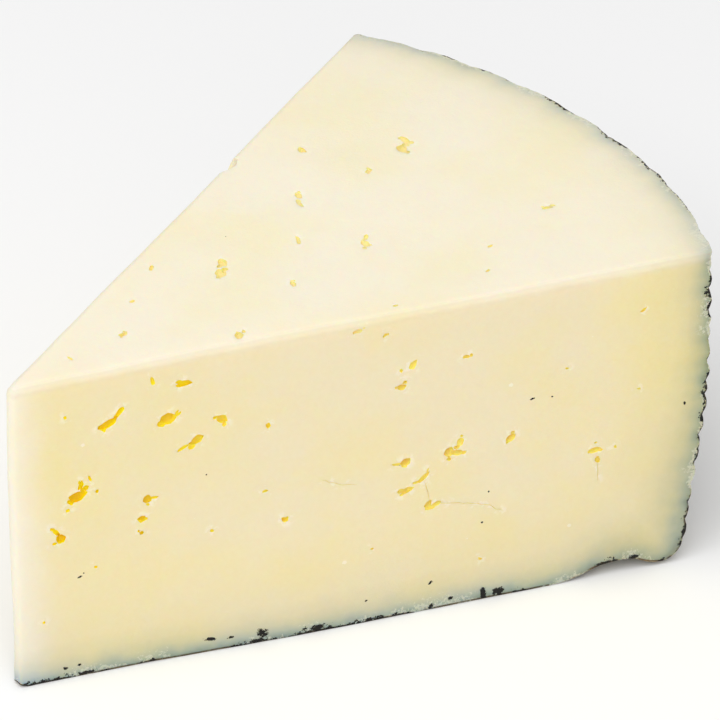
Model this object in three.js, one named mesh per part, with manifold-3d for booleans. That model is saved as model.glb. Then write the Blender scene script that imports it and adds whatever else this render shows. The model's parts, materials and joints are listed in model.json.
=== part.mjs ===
// Cheese wedge: an eighth of a tall pressed wheel, from the lower half of the wheel.
//
// The wheel is a lathe about its own upright axis, and the knife's path is an extruded
// sector. The wedge is the one solid that they share, less the eyes that the cuts opened
// and a chip in one top edge. Curd and rind formed as one piece, so there is one mesh.
//
// Millimetres, +Z up. +X runs from the tip of the wedge to the middle of its rind. The
// model is built from the tip, and moved at the end so that its origin is the middle of
// the box it fills, at the height of its base.
import Module from 'manifold-3d';
import * as THREE from 'three';
import { mergeVertices } from 'three/addons/utils/BufferGeometryUtils.js';

// The knife's path
const CUT_LENGTH = 112.4; // each cut side, from the tip to the rind
const HALF_ANGLE = Math.PI / 8; // a wedge of 45 degrees, seen from above
const TIP_HEIGHT = 55; // from the base to the top cut, at the tip
const TOP_RISE = 0.021; // climb of the top cut for each millimetre towards the rind
const TIP_LEAN = 1; // how far the tip's foot stands out past its top
const TIP_ROUNDING = 1.2; // radius of the upright edge at the tip
const EDGE_ROUNDING = 1; // radius of the edges round the top cut
const OVERCUT = 8; // how far the knife's path runs on below and past the wheel

// The wheel
const WHEEL_RADIUS = 91.6; // where it is widest, at half its height
const WHEEL_HALF_HEIGHT = 62;
const SHOULDER_HEIGHT = 40; // below this the side leans in towards the base
const FLAT_BASE_RADIUS = 66;
const LIFTED_RING_RADIUS = 78; // a shallow ring that the mould pressed into the base
const LIFTED_RING_HEIGHT = 2.4;
const LIP_RADIUS = 84.6; // the low rounded lip between that ring and the side
const LIP_HEIGHT = 0.7;
const HEEL_RADIUS = 88.9; // where the lip's curve runs into the side
const HEEL_HEIGHT = 7;

// Fineness of the curved surfaces
const WHEEL_SEGMENTS = 180; // round the whole wheel
const PROFILE_STEPS = 6; // along each curve of the wheel's profile
const TIP_STEPS = 6;
const EDGE_STEPS = 3;
const EYE_DETAIL = 1;

// Eyes: where each one's middle lies on its face, its length and breadth, and its slant
// in degrees from the first direction. An eye is as deep as it is broad, less a third.
const EYE_DEPTH_RATIO = 0.65;
const EYE_SINK_RATIO = 0.15; // how far an eye's middle lies below its face
// On the cut sides the first two numbers are the distance from the tip and the height.
const FRONT_EYES = [
  [17.2, 46.7, 4.8, 1.4, 44],
  [25.7, 44.7, 2.7, 2.2, 30],
  [28.5, 50.6, 2.3, 1.3, -10],
  [34.2, 42.8, 2.0, 1.4, -20],
  [29.7, 39.6, 4.2, 1.4, 22],
  [11.7, 34.0, 3.5, 2.3, 60],
  [8.6, 27.0, 3.1, 1.5, 105],
  [22.7, 30.7, 2.4, 1.5, 25],
  [21.6, 27.3, 1.6, 1.3, 0],
  [64.3, 46.4, 1.7, 1.2, 75],
  [62.4, 42.9, 1.6, 1.3, 0],
  [70.9, 29.8, 3.8, 2.0, -25],
  [62.7, 28.9, 2.5, 1.3, 15],
  [64.8, 24.2, 4.4, 1.5, 33],
  [67.6, 20.1, 2.7, 1.4, 12],
  [80.0, 29.9, 1.7, 1.3, 40],
  [94.3, 24.8, 2.3, 1.1, 8],
  [41.6, 40.1, 1.4, 1.1, 60],
];
const BACK_EYES = [
  [14.1, 38.0, 2.8, 1.6, 70],
  [20.6, 21.5, 3.6, 1.4, 20],
  [29.1, 47.0, 1.9, 1.5, 0],
  [36.6, 31.5, 4.3, 1.7, -35],
  [48.1, 41.5, 2.6, 2.0, 50],
  [53.6, 16.0, 2.2, 1.4, 10],
  [60.1, 34.5, 3.2, 2.2, -15],
  [67.6, 45.0, 1.8, 1.2, 80],
  [75.1, 24.0, 4.0, 1.5, 35],
  [82.6, 38.0, 2.0, 1.5, 0],
  [92.1, 17.5, 2.4, 1.2, -20],
];
// On the top cut they are the distances along +X and +Y from the tip.
const TOP_EYES = [
  [87.4, 11.0, 3.8, 2.4, -60],
  [75.0, 21.2, 2.2, 1.3, 70],
  [65.8, 10.8, 3.9, 1.3, 60],
  [65.9, -5.1, 2.8, 1.6, 70],
  [44.6, 3.6, 4.2, 1.8, 75],
  [35.7, -12.0, 2.8, 1.5, 50],
  [93.2, -16.7, 2.2, 1.2, -35],
  [49.8, -22.0, 1.6, 1.2, 0],
  [22.9, -0.4, 1.6, 1.2, 0],
  [58.6, 2.4, 2.0, 1.1, 70],
];

// A chip broken out of the top edge of the back cut
const CHIP_ALONG = 69.2; // from the tip, along the back cut
const CHIP_LENGTH = 6.4;
const CHIP_BREADTH = 4.2;
const CHIP_DEPTH = 4.6;

const wasm = await Module();
wasm.setup();

// A closed manifold solid from a three.js geometry, with its shared corners merged and the
// flat triangles left out that a lathe has at its poles.
function solidFrom(geometry) {
  const bare = geometry.clone();
  bare.deleteAttribute('normal');
  bare.deleteAttribute('uv');
  const merged = mergeVertices(bare, 1e-4);
  const corners = merged.index.array;
  const triangles = [];
  for (let i = 0; i < corners.length; i += 3) {
    const [a, b, c] = [corners[i], corners[i + 1], corners[i + 2]];
    if (a !== b && b !== c && c !== a) triangles.push(a, b, c);
  }
  return new wasm.Manifold(new wasm.Mesh({
    numProp: 3,
    vertProperties: merged.attributes.position.array,
    triVerts: Uint32Array.from(triangles),
  }));
}

// The three.js geometry of a manifold solid, with flat shading for its sharp cut edges.
function geometryFrom(solid) {
  const mesh = solid.getMesh();
  const indexed = new THREE.BufferGeometry();
  indexed.setAttribute('position', new THREE.Float32BufferAttribute(mesh.vertProperties, 3));
  indexed.setIndex(new THREE.Uint32BufferAttribute(mesh.triVerts, 1));
  const geometry = indexed.toNonIndexed();
  geometry.computeVertexNormals();
  return geometry;
}

// The distance from the tip to the wheel's axis: the cuts miss the wheel's centre, and
// each one meets the rind at CUT_LENGTH.
function wheelAxisX() {
  const halfWidth = CUT_LENGTH * Math.sin(HALF_ANGLE);
  return CUT_LENGTH * Math.cos(HALF_ANGLE) - Math.sqrt(WHEEL_RADIUS ** 2 - halfWidth ** 2);
}

// Half of the wheel's section, from its axis along the base and up the side.
function wheelProfile() {
  const ringStart = (FLAT_BASE_RADIUS + LIFTED_RING_RADIUS) / 2;
  const ringEnd = (LIFTED_RING_RADIUS + LIP_RADIUS) / 2;
  const profile = new THREE.Path();
  profile.moveTo(0, 0);
  profile.lineTo(FLAT_BASE_RADIUS, 0);
  profile.bezierCurveTo(
    ringStart, 0, ringStart, LIFTED_RING_HEIGHT, LIFTED_RING_RADIUS, LIFTED_RING_HEIGHT);
  profile.bezierCurveTo(
    ringEnd, LIFTED_RING_HEIGHT, ringEnd, LIP_HEIGHT, LIP_RADIUS, LIP_HEIGHT);
  profile.bezierCurveTo(
    LIP_RADIUS + 2.4, LIP_HEIGHT, HEEL_RADIUS - 0.3, HEEL_HEIGHT / 2, HEEL_RADIUS, HEEL_HEIGHT);
  profile.bezierCurveTo(
    HEEL_RADIUS + 0.6, HEEL_HEIGHT + 9, WHEEL_RADIUS, SHOULDER_HEIGHT - 12,
    WHEEL_RADIUS, SHOULDER_HEIGHT);
  profile.lineTo(WHEEL_RADIUS, WHEEL_HALF_HEIGHT);
  profile.lineTo(0, WHEEL_HALF_HEIGHT);
  return profile.getPoints(PROFILE_STEPS);
}

function makeWheel() {
  const geometry = new THREE.LatheGeometry(wheelProfile(), WHEEL_SEGMENTS);
  geometry.rotateX(Math.PI / 2);
  geometry.translate(wheelAxisX(), 0, 0);
  return solidFrom(geometry);
}

// The sector that the knife takes out: two upright cuts that meet at the rounded tip,
// under a top cut with softened edges.
function makeKnifeSector() {
  const reach = CUT_LENGTH + 4 * OVERCUT;
  const farX = reach * Math.cos(HALF_ANGLE);
  const farY = reach * Math.sin(HALF_ANGLE);
  const tipCentreX = TIP_ROUNDING / Math.sin(HALF_ANGLE);
  const tangentAngle = Math.PI / 2 + HALF_ANGLE;
  const outline = new THREE.Shape();
  outline.moveTo(farX, -farY);
  outline.lineTo(farX, farY);
  outline.absarc(tipCentreX, 0, TIP_ROUNDING, tangentAngle, 2 * Math.PI - tangentAngle, false);
  outline.closePath();

  const geometry = new THREE.ExtrudeGeometry(outline, {
    depth: TIP_HEIGHT + OVERCUT - 2 * EDGE_ROUNDING,
    curveSegments: TIP_STEPS,
    bevelEnabled: true,
    bevelThickness: EDGE_ROUNDING,
    bevelSize: EDGE_ROUNDING,
    bevelOffset: -EDGE_ROUNDING,
    bevelSegments: EDGE_STEPS,
  });
  geometry.translate(0, 0, EDGE_ROUNDING - OVERCUT);
  const leanAndRise = new THREE.Matrix4().set(
    1, 0, TIP_LEAN / TIP_HEIGHT, -TIP_LEAN,
    0, 1, 0, 0,
    TOP_RISE, 0, 1, 0,
    0, 0, 0, 1);
  geometry.applyMatrix4(leanAndRise);
  return solidFrom(geometry);
}

// Places a pocket on a face: right and up span the face, and out points away from it.
function faceFrame(right, up, origin) {
  const out = new THREE.Vector3().crossVectors(right, up);
  return new THREE.Matrix4().makeBasis(right, up, out).setPosition(origin);
}

// The frame of an upright cut at side times HALF_ANGLE: -1 is the front cut, 1 the back.
function cutFaceFrame(side) {
  const along = new THREE.Vector3(Math.cos(HALF_ANGLE), side * Math.sin(HALF_ANGLE), 0);
  const up = new THREE.Vector3(TIP_LEAN, 0, TIP_HEIGHT).normalize();
  const foot = new THREE.Vector3(-TIP_LEAN, 0, 0);
  const frame = faceFrame(along, up, foot);
  return side < 0 ? frame : frame.multiply(new THREE.Matrix4().makeScale(1, 1, -1));
}

function topFaceFrame() {
  const along = new THREE.Vector3(1, 0, TOP_RISE).normalize();
  const across = new THREE.Vector3(0, 1, 0);
  return faceFrame(along, across, new THREE.Vector3(0, 0, TIP_HEIGHT));
}

// One eye: a faceted egg with most of its body below the face it was cut open on.
function makeEye(frame, [along, across, length, breadth, slant]) {
  const depth = breadth * EYE_DEPTH_RATIO;
  const geometry = new THREE.IcosahedronGeometry(1, EYE_DETAIL);
  geometry.scale(length / 2, breadth / 2, depth);
  geometry.rotateZ(THREE.MathUtils.degToRad(slant));
  geometry.translate(along, across, -depth * EYE_SINK_RATIO);
  geometry.applyMatrix4(frame);
  return solidFrom(frame.determinant() < 0 ? turnedOut(geometry) : geometry);
}

// The same triangles the other way round, for a shape that a mirrored frame turned inside out.
function turnedOut(geometry) {
  const position = geometry.attributes.position;
  const swapped = position.array.slice();
  for (let i = 0; i < swapped.length; i += 9) {
    for (let axis = 0; axis < 3; axis += 1) {
      swapped[i + 3 + axis] = position.array[i + 6 + axis];
      swapped[i + 6 + axis] = position.array[i + 3 + axis];
    }
  }
  geometry.setAttribute('position', new THREE.BufferAttribute(swapped, 3));
  return geometry;
}

function makeChip() {
  const x = CHIP_ALONG * Math.cos(HALF_ANGLE);
  const y = CHIP_ALONG * Math.sin(HALF_ANGLE);
  const geometry = new THREE.IcosahedronGeometry(1, EYE_DETAIL);
  geometry.scale(CHIP_LENGTH / 2, CHIP_BREADTH / 2, CHIP_DEPTH / 2);
  geometry.rotateZ(HALF_ANGLE);
  geometry.translate(x, y, TIP_HEIGHT + TOP_RISE * x);
  return solidFrom(geometry);
}

function makeWedge() {
  const front = cutFaceFrame(-1);
  const back = cutFaceFrame(1);
  const top = topFaceFrame();
  const hollows = [
    ...FRONT_EYES.map((eye) => makeEye(front, eye)),
    ...BACK_EYES.map((eye) => makeEye(back, eye)),
    ...TOP_EYES.map((eye) => makeEye(top, eye)),
    makeChip(),
  ];
  const cut = makeWheel().intersect(makeKnifeSector());
  return hollows.reduce((solid, hollow) => solid.subtract(hollow), cut);
}

function centreOnBase(geometry) {
  geometry.computeBoundingBox();
  const box = geometry.boundingBox;
  geometry.translate(-(box.min.x + box.max.x) / 2, -(box.min.y + box.max.y) / 2, -box.min.z);
  return geometry;
}

const paste = new THREE.MeshStandardMaterial({ color: '#f1e5bd', roughness: 0.55, metalness: 0 });
const wedge = new THREE.Mesh(centreOnBase(geometryFrom(makeWedge())), paste);
wedge.name = 'cheese_wedge';

const object = new THREE.Group();
object.add(wedge);

export default object;
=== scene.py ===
"""A cheese wedge: its looks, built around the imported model.

The wedge is one closed mesh. A finely modelled wheel, with the plaited relief of its mould,
is met with a finely gridded knife's path, and irregular eyes, cracks and a chip are cut out
of that. Attributes on the mesh then drive one material: pale paste, yellower eyes, a grey
halo under the rind and the dark, blooming rind itself.

The mesh is made in millimetres from the tip of the wedge, and moved to the frame at the end.
"""

import json
import math
import random

import bmesh
import bpy
import numpy as np
from mathutils import Matrix, Vector, noise
from mathutils.bvhtree import BVHTree

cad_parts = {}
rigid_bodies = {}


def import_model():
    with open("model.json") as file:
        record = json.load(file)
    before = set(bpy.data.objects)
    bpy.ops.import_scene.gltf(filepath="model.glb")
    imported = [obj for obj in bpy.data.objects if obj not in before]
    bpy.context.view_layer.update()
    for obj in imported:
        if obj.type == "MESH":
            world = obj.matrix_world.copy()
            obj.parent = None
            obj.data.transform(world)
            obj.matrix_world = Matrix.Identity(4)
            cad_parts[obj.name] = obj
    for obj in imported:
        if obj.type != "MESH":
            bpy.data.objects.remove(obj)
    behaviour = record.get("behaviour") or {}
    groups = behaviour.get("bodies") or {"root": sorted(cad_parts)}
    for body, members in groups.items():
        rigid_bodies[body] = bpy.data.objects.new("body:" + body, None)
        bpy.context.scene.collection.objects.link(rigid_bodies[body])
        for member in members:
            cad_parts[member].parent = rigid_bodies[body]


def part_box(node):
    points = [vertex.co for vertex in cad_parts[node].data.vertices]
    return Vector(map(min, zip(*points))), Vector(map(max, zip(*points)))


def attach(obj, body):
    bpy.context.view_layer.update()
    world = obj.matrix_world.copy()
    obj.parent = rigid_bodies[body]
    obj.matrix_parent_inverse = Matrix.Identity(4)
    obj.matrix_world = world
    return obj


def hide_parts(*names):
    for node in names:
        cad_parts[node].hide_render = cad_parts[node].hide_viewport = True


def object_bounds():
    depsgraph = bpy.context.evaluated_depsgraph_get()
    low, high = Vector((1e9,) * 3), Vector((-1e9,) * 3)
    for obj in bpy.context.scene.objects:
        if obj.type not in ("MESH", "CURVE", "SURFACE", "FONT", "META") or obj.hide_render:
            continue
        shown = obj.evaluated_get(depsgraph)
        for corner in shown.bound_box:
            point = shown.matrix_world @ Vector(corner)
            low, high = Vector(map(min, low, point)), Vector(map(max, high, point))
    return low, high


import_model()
cad_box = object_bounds()

MM = 0.001
NODE = "cheese_wedge"

# The knife's path, in millimetres and radians
CUT_LENGTH = 112.4
HALF_ANGLE = math.pi / 8
TIP_HEIGHT = 55.0
TOP_RISE = 0.021
TIP_LEAN = 1.0
TIP_ROUNDING = 1.2
EDGE_ROUNDING = 1.1
OVERCUT = 8.0
# How far the back cut's top edge bows in at its middle, and where that ends
BACK_BOW = 0.3
BACK_BOW_END = 104

# Which of the many unsteady paths the knife takes, so that each run gives the same one
KNIFE_SEED = 5
# A hand-held knife strays in long waves and short ones: their lengths and heights. The short
# ones die out this near the rind, and neither lifts the surface this near the base.
LONG_WAVE = 34.0
LONG_STRAY = 0.35
SHORT_WAVE = 9.0
SHORT_STRAY = 0.10
CALM_BY_RIND = 3
CALM_BY_BASE = 8

# The tip's upright edge is pushed out in a wave, with a crest at that height
TIP_PUSH = 0.40
TIP_PUSH_REACH = 14
TIP_WAVE = 0.30
TIP_WAVE_CREST = 35
TIP_WAVE_STRETCH = 9
# The tip is worn up at its foot and down at its nose, over these sizes
FOOT_WEAR = 1.5
FOOT_SIZE = 3.2
NOSE_WEAR = 0.5
NOSE_LENGTH = 4
NOSE_DEPTH = 3

# The wheel, in millimetres
WHEEL_RADIUS = 91.6
WHEEL_HALF_HEIGHT = 62.0
SHOULDER_HEIGHT = 40.0
FLAT_BASE_RADIUS = 66.0
RING_RADIUS = 78.0
RING_HEIGHT = 2.4
LIP_RADIUS = 84.6
LIP_HEIGHT = 0.7
HEEL_RADIUS = 88.9
HEEL_HEIGHT = 7.0
# How far the curves between those heights are drawn out, in, up and down
LIP_PULL_OUT = 2.4
HEEL_PULL_IN = 0.3
HEEL_PULL_OUT = 0.6
HEEL_PULL_UP = 9.0
SHOULDER_PULL_DOWN = 12.0
RING_STEPS = 12
LIP_STEPS = 8
HEEL_STEPS = 16

# A slight bulge in the wheel's side towards the front cut
BULGE_ANGLE = math.radians(17)
BULGE_SPREAD = math.radians(8)
BULGE_HEIGHT = 0.5

# The mould's plait: slanted strands in bands, each band leaning the other way
STRAND_PITCH = 3.6
STRAND_SLANT = math.tan(math.radians(20))
STRAND_DEPTH = 0.75
STRAND_SHARPNESS = 0.7
BAND_HEIGHT = 11.0
BAND_DEPTH = 0.3
BAND_SHARPNESS = 0.3
# How many strands each band starts further on than the one below it
BAND_SHIFT = 0.37
# How far the plait wanders round the side and up it, and in how many waves to a millimetre
WANDER_ROUND = 1.6
WANDER_UP = 1.1
WANDER_RATE = 0.09
# The share of its depth that the plait keeps, and how far that varies
PLAIT_KEPT = 0.75
PLAIT_KEPT_RANGE = 0.5

# Lumps and finer grain on the rind: how far they press the side in and lift the base
LUMPS_PER_MM = 0.22
SIDE_LUMPS = 0.25
SIDE_GRAIN = 0.32
BASE_LUMPS = 0.3
BASE_GRAIN = 0.1
# The share of each lump's height that stays flat on the base
BASE_FLATNESS = 0.35

# Fineness of the mesh, in millimetres
RIND_STEP = 0.5
CUT_STEP = 0.75
BASE_STEP = 3.0
FINE_HALF_ANGLE = math.radians(31)
COARSE_COLUMNS = 30
TIP_STEPS = 8
EDGE_STEPS = 4
# Where the grid on the cuts starts and ends: up from the base, out from the tip, and across
GRID_FOOT = -0.5
GRID_START = 2.5
GRID_END = CUT_LENGTH + 4
GRID_HALF_WIDTH = 44
# Points closer than this are made one
WELD_GAP = 0.003

# Which surface a face belongs to, kept as its material index while the mesh is made
CUT, RIND, EYE = 0, 1, 2

# Eyes, as pebble-shaped pockets. On the upright cuts: distance from the tip, height,
# length, breadth, slant in degrees. Pockets that meet make one eye.
FRONT_EYES = [
    (16.6, 46.0, 3.4, 1.5, 33),
    (18.4, 47.7, 2.9, 0.9, 58),
    (25.7, 44.8, 2.5, 2.4, 80),
    (26.9, 44.7, 2.2, 0.8, 60),
    (28.6, 50.5, 2.5, 1.3, -5),
    (23.5, 52.2, 1.8, 0.7, 100),
    (34.3, 42.8, 2.0, 1.6, -30),
    (33.4, 43.3, 1.2, 0.7, 10),
    (30.4, 39.9, 2.9, 1.6, 22),
    (28.2, 38.9, 2.4, 0.7, 24),
    (11.6, 33.6, 3.0, 2.5, 20),
    (12.1, 35.6, 1.8, 1.0, 80),
    (12.8, 34.9, 1.3, 1.0, 30),
    (13.4, 36.6, 1.4, 0.5, 110),
    (8.2, 27.9, 2.2, 1.0, 120),
    (8.9, 26.6, 2.0, 1.8, 80),
    (22.4, 30.6, 1.8, 1.6, 50),
    (23.5, 30.8, 1.7, 0.6, 0),
    (21.6, 27.3, 1.5, 1.4, 40),
    (21.5, 24.7, 1.0, 0.9, 0),
    (10.1, 48.5, 0.8, 0.6, 90),
    (55.6, 54.4, 1.8, 0.9, 5),
    (59.8, 52.9, 0.8, 0.8, 0),
    (64.3, 46.6, 1.8, 1.1, 70),
    (62.4, 42.9, 1.7, 1.4, 10),
    (70.2, 29.4, 2.2, 2.0, 60),
    (72.0, 31.0, 1.9, 1.1, 80),
    (71.5, 29.0, 2.6, 1.2, -10),
    (63.3, 28.9, 1.7, 1.5, 40),
    (61.9, 28.7, 1.8, 0.6, 0),
    (80.0, 30.0, 1.9, 1.3, 35),
    (72.8, 46.4, 1.3, 0.9, -20),
    (66.2, 25.4, 3.0, 1.0, 43),
    (63.6, 23.4, 2.8, 1.4, 20),
    (67.2, 20.2, 1.8, 1.3, 60),
    (68.4, 20.0, 2.4, 0.9, 25),
    (94.1, 24.9, 2.2, 1.1, 10),
    (94.6, 22.9, 1.3, 1.0, 90),
    (101.2, 49.0, 1.3, 0.7, 45),
    (41.6, 40.1, 1.1, 0.9, 60),
    (41.2, 28.2, 1.1, 0.6, 0),
    (44.2, 22.4, 1.2, 1.1, 0),
]
BACK_EYES = [
    (14.1, 38.0, 2.6, 1.6, 70),
    (14.9, 36.6, 1.6, 0.7, 20),
    (20.6, 21.5, 3.4, 1.2, 20),
    (22.6, 22.6, 1.6, 0.8, 50),
    (29.1, 47.0, 1.9, 1.5, 0),
    (36.6, 31.5, 3.4, 1.6, -35),
    (35.0, 32.9, 1.8, 0.7, -50),
    (42.6, 12.5, 1.0, 0.8, 0),
    (48.1, 41.5, 2.4, 1.9, 50),
    (53.6, 16.0, 2.0, 1.3, 10),
    (60.1, 34.5, 2.8, 2.1, -15),
    (61.8, 35.2, 1.6, 0.7, 20),
    (67.6, 45.0, 1.8, 1.1, 80),
    (75.1, 24.0, 3.8, 1.3, 35),
    (73.5, 23.4, 1.8, 1.5, 0),
    (82.6, 38.0, 1.9, 1.5, 0),
    (92.1, 17.5, 2.2, 1.0, -20),
    (97.6, 44.0, 1.2, 0.9, 40),
]
# On the top cut: distances along +X and +Y from the tip, then as above.
TOP_EYES = [
    (86.8, 10.6, 2.8, 2.2, 40),
    (88.6, 12.2, 2.6, 1.3, 80),
    (78.9, 9.4, 1.6, 1.0, 30),
    (75.0, 21.2, 1.8, 1.2, 70),
    (66.4, 11.6, 2.0, 1.1, 60),
    (65.0, 9.8, 2.2, 0.9, 75),
    (58.6, 2.4, 2.0, 0.8, 70),
    (50.5, -6.9, 1.7, 0.9, 70),
    (44.0, 2.9, 2.7, 1.9, 70),
    (45.9, 5.0, 2.2, 1.5, 60),
    (65.6, -5.4, 2.2, 1.4, 75),
    (66.9, -4.2, 1.6, 0.8, 40),
    (35.7, -12.4, 2.4, 1.4, 50),
    (29.3, 5.7, 1.1, 0.7, 0),
    (22.9, -0.4, 1.7, 1.1, 10),
    (37.0, 11.0, 1.8, 0.7, 40),
    (93.2, -16.7, 2.2, 1.0, -30),
    (79.5, -18.8, 1.3, 0.7, 0),
    (58.3, -21.5, 0.9, 0.7, 0),
    (74.9, -23.5, 1.0, 0.7, 30),
    (13.3, 0.2, 1.6, 0.5, 90),
]
EYE_DEPTH_RATIO = 0.40
EYE_SINK_RATIO = 0.3
# The widest radius of a pocket, as a share of the eye's length or breadth
EYE_GROWTH = 0.55
# How far a pocket's corners lie from its middle, least and most, and how much it tapers
PEBBLE_CORNERS = (0.68, 1.22)
PEBBLE_TAPER = 0.2
# An eye this broad has so many pockets, and all but its main one are this share of its size
BROAD_EYE = 0.8
POCKETS = 3
SMALL_POCKET = (0.4, 0.7)
# How far a smaller pocket's slant strays from the main one's, in radians
POCKET_SWING = 0.7

# Pinholes on each upright cut: how many, and the ranges of their size and place
PINHOLES = 12
PINHOLE_SIZE = (0.35, 0.7)
PINHOLE_DISTANCE = (4, 104)
PINHOLE_HEIGHT = (5, 50)

# Fine cracks: points along the cut (distance from the tip, height), and the width of the
# V-shaped blade that makes each, where it stands out of the cut
FRONT_CRACKS = [
    ([(68.1, 20.3), (72.1, 19.4), (77.2, 18.0), (78.2, 16.9), (79.5, 16.4)], 0.27),
    ([(66.4, 24.6), (67.0, 22.6), (67.3, 20.8)], 0.3),
    ([(50.1, 28.3), (52.6, 26.9), (55.6, 26.2)], 0.225),
    ([(94.6, 22.6), (94.8, 20.6), (94.8, 18.8)], 0.225),
]
BACK_CRACKS = [
    ([(61.6, 34.0), (65.6, 32.2), (69.1, 32.0)], 0.27),
    ([(21.6, 20.9), (24.1, 18.6), (24.6, 16.4)], 0.225),
]
CRACK_DEPTH = 0.15
CRACK_STEP = 0.8
CRACK_JITTER = 0.12
BLADE_STANDS_OUT = 0.4

# The chip in the top edge of the back cut
CHIP_ALONG = 69.2
CHIP_SIZE = (6.4, 4.2, 4.6)

# Dark crumbs on the front cut: (distance from the tip, height), length, breadth, slant
FRONT_SPECKS = [
    ((11.7, 18.8), 0.7, 0.4, 20),
    ((12.4, 19.4), 0.3, 0.3, 0),
    ((31.8, 33.3), 0.3, 0.3, 0),
    ((83.5, 36.6), 0.7, 0.3, 10),
    ((86.7, 36.3), 0.3, 0.3, 0),
    ((108.6, 30.5), 0.3, 0.6, 0),
    ((76.9, 20.7), 0.3, 0.3, 0),
    ((76.0, 15.0), 0.3, 0.3, 0),
    ((57.4, 4.2), 0.5, 0.4, 0),
    ((67.8, 5.3), 0.9, 0.6, 40),
    ((9.2, 2.0), 0.6, 0.6, 0),
    ((11.4, 2.2), 0.5, 0.5, 0),
    ((12.8, 0.5), 3.2, 0.7, 0),
    ((32.2, 2.4), 1.7, 0.6, -10),
    ((35.6, 2.0), 1.1, 0.5, 0),
    ((40.7, 1.8), 1.4, 1.6, 30),
    ((39.9, 0.4), 2.4, 1.0, 0),
    ((47.4, 1.1), 1.0, 0.7, 0),
    ((49.6, 0.8), 2.0, 1.2, 10),
    ((67.9, 0.6), 0.8, 0.9, 0),
    ((71.2, 1.4), 1.0, 0.6, 20),
    ((76.6, 1.3), 0.9, 2.6, 5),
    ((79.2, 0.9), 1.8, 1.6, -15),
    ((96.5, 2.4), 2.4, 0.6, 5),
    ((101.6, 2.5), 1.7, 1.0, 5),
]

# How far the material's distances reach, in millimetres
RIND_REACH = 25.0
EYE_REACH = 4.0
SHARP_ANGLE = math.radians(38)

# The camera, round the middle of the wedge
CAMERA_AZIMUTH = -39.99
CAMERA_ELEVATION = 34.43
CAMERA_DISTANCE = 0.7779
CAMERA_LENS = 250.0
CAMERA_AIM = Vector((0.0087, -0.0034, 0.0332))


# ---------------------------------------------------------------- colours


def linear(red, green, blue):
    """A colour given in 0 to 255 as eyes see it, turned into linear light."""
    def one(value):
        value /= 255
        return value / 12.92 if value <= 0.04045 else ((value + 0.055) / 1.055) ** 2.4
    return one(red), one(green), one(blue)


SIDE_PASTE = linear(236, 223, 187)
SIDE_PASTE_YELLOW = linear(238, 223, 164)
# The top cut's paler paste is painted light, standing in for the stronger light on the top
LIT_TOP_PASTE = linear(244, 235, 212)
LIT_TOP_PASTE_YELLOW = linear(243, 233, 199)
PASTE_LIGHT = linear(248, 241, 226)
# Whiter paste at the very tip: painted light, for light shining through the thin tip
LIT_TIP_PASTE = linear(240, 235, 222)
EYE_PALE = linear(243, 232, 172)
EYE_YELLOW = linear(252, 230, 6)
# The darker orange deep in the eyes is painted shade
EYE_SHADE_ORANGE = linear(250, 211, 0)
RIND_BLACK = linear(12, 9, 6)
RIND_BROWN = linear(74, 62, 46)
RIND_TAN = linear(134, 124, 99)
RIND_BLOOM = linear(184, 182, 160)
CRUMB_WHITE = linear(230, 228, 208)
# What the paste is multiplied by along the edges of the top cut, which catch more light
EDGE_TONE = (0.92, 0.91, 0.89)
RIDGE_TONE = (0.945, 0.95, 0.965)
# The halo is less blue along the wheel's side than along its base
SIDE_TONE = (1.0, 0.965, 0.90)
# What the paste is multiplied by, at each distance from the rind in millimetres
HALO = [
    (0.0, (0.28, 0.39, 0.49)),
    (0.9, (0.44, 0.57, 0.70)),
    (1.8, (0.575, 0.68, 0.78)),
    (3.2, (0.73, 0.79, 0.81)),
    (5.4, (0.86, 0.88, 0.86)),
    (9.0, (0.945, 0.95, 0.93)),
    (16.0, (0.985, 0.985, 0.97)),
    (25.0, (1.0, 1.0, 1.0)),
]
# How narrow the halo is at the foot of the wheel's side, how much narrower it is high up and
# under the inner part of the base, and how much of it is lost on the top cut
HALO_NARROWNESS = 0.88
HALO_NARROWER_HIGH = 0.7
HALO_NARROWER_INSIDE = 0.37
HALO_FADES_ON_TOP = 0.3

# How light spreads in the cheese, and how much its surface mirrors
SPREAD = 0.6
SPREAD_COLOUR = (1.0, 0.62, 0.25)
SPREAD_METRES = 0.0025
GLOSS = 0.28

# The stage, in metres and watts; each lamp is its name, place, size and power
FLOOR_REACH = 3.0
FLOOR_GREY = 0.95
SKY_STRENGTH = 0.58
LAMPS = [
    ("key", (-0.50, -0.25, 1.05), 1.2, 8.5),
    ("front", (-0.42, -0.62, 0.35), 0.4, 0.48),
]


# ---------------------------------------------------------------- the wheel


def wheel_axis_x():
    """How far the wheel's axis lies from the tip: the cuts miss the middle of the wheel."""
    half_width = CUT_LENGTH * math.sin(HALF_ANGLE)
    return CUT_LENGTH * math.cos(HALF_ANGLE) - math.sqrt(WHEEL_RADIUS**2 - half_width**2)


def bezier(start, control_a, control_b, end, steps):
    """Points along a cubic curve, without its start."""
    t = np.linspace(0, 1, steps + 1)[1:, None]
    points = [np.array(p, float) for p in (start, control_a, control_b, end)]
    weights = [(1 - t) ** 3, 3 * t * (1 - t) ** 2, 3 * t * t * (1 - t), t**3]
    return sum(w * p for w, p in zip(weights, points))


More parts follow.
